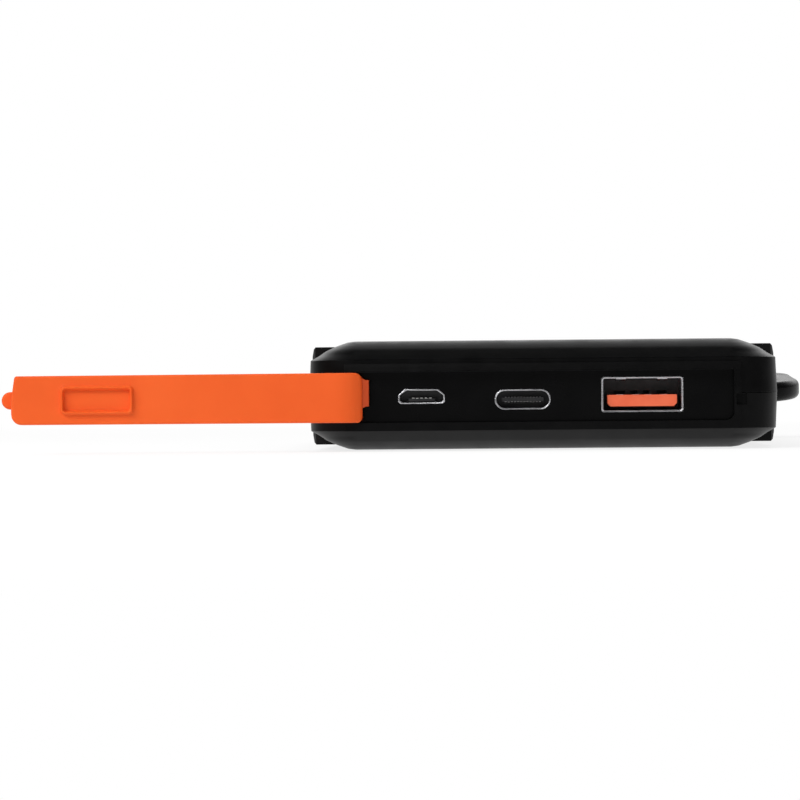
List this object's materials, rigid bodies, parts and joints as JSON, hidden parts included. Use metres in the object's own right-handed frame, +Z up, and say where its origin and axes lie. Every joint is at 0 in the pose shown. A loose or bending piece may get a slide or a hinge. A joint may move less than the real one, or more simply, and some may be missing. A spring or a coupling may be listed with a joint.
{
  "type": "power bank",
  "caption": "Flat rounded battery pack with a row of charging ports under a hinged rubber cover, side grips, a solar top and a snap hook at one corner.",
  "frame": {"origin": "centre of the flat underside of the case", "axes": "+X to the right as the ports are faced, +Y from the ports to the far end, +Z up out of the solar side"},
  "size_m": [0.1374, 0.1814, 0.0175],
  "materials": {
    "shell_black": "fine texture",
    "guard_black": "soft touch",
    "bezel_gloss": "polished",
    "cover_orange": "satin",
    "port_steel": "satin",
    "tongue_orange": "satin",
    "tongue_black": "satin",
    "port_insulator": "satin",
    "contact_plated": "polished",
    "board_green": "satin",
    "screw_steel": "satin",
    "chip_black": "satin",
    "ferrite_grey": "rough",
    "capacitor_tan": "satin",
    "led_white": "satin",
    "light_pipe": "clear",
    "plunger_white": "satin",
    "button_black": "satin",
    "cell_foil": "satin",
    "tab_nickel": "satin",
    "lead_red": "satin",
    "lead_black": "satin",
    "foam_grey": "rough",
    "solar_backing": "satin",
    "solar_blue": "polished",
    "solar_resin": "clear",
    "screw_dark": "satin",
    "pin_steel": "satin",
    "carabiner_black": "polished",
    "gate_black": "polished"
  },
  "bodies": {
    "case": {"upper_shell": "shell_black", "lower_shell": "shell_black", "side_guard_left": "guard_black", "side_guard_right": "guard_black", "port_bezel": "bezel_gloss", "cover_root": "cover_orange", "usb_a_shell": "port_steel", "usb_a_tongue": "tongue_orange", "usb_a_back": "port_insulator", "usb_a_contacts": "contact_plated", "usb_c_shell": "port_steel", "usb_c_tongue": "tongue_black", "usb_c_contacts": "contact_plated", "micro_usb_shell": "port_steel", "micro_usb_tongue": "tongue_black", "micro_usb_contacts": "contact_plated", "circuit_board": "board_green", "board_screws": "screw_steel", "board_chips": "chip_black", "inductors": "ferrite_grey", "capacitors": "capacitor_tan", "status_leds": "led_white", "light_pipe": "light_pipe", "switch_body": "chip_black", "battery_cells": "cell_foil", "cell_tabs": "tab_nickel", "protection_board": "board_green", "lead_positive": "lead_red", "lead_negative": "lead_black", "foam_pads": "foam_grey", "solar_board": "solar_backing", "solar_cells": "solar_blue", "solar_cover": "solar_resin", "case_screws": "screw_dark", "lanyard_pin": "pin_steel"},
    "cover": {"cover_panel": "cover_orange", "cover_strap": "cover_orange"},
    "button": {"power_button": "button_black", "switch_plunger": "plunger_white"},
    "carabiner": {"carabiner_body": "carabiner_black", "gate_pin": "pin_steel"},
    "gate": {"carabiner_gate": "gate_black"}
  },
  "joints": [
    {"name": "cover_hinge", "type": "hinge", "parent": "case", "child": "cover", "pos_m": [-0.0277, -0.0715, 0.0084], "axis": [0, 0, 1], "range_deg": [0, 178.5], "deforming": ["cover_strap"]},
    {"name": "power_button", "type": "slide", "parent": "case", "child": "button", "axis": [0, 0, -1], "range_m": [0, 0.0006], "stiffness_N_per_m": 400},
    {"name": "carabiner_swing", "type": "hinge", "parent": "case", "child": "carabiner", "pos_m": [0.0326, 0.066, 0.00815], "axis": [0, 0, 1], "range_deg": [-60, 10]},
    {"name": "gate_hinge", "type": "hinge", "parent": "carabiner", "child": "gate", "pos_m": [0.02639, 0.08793, 0.00953], "axis": [0.0175, 0.0675, -0.9976], "range_deg": [0, 25], "stiffness_Nm_per_rad": 0.01, "springref_deg": -17.19}
  ]
}
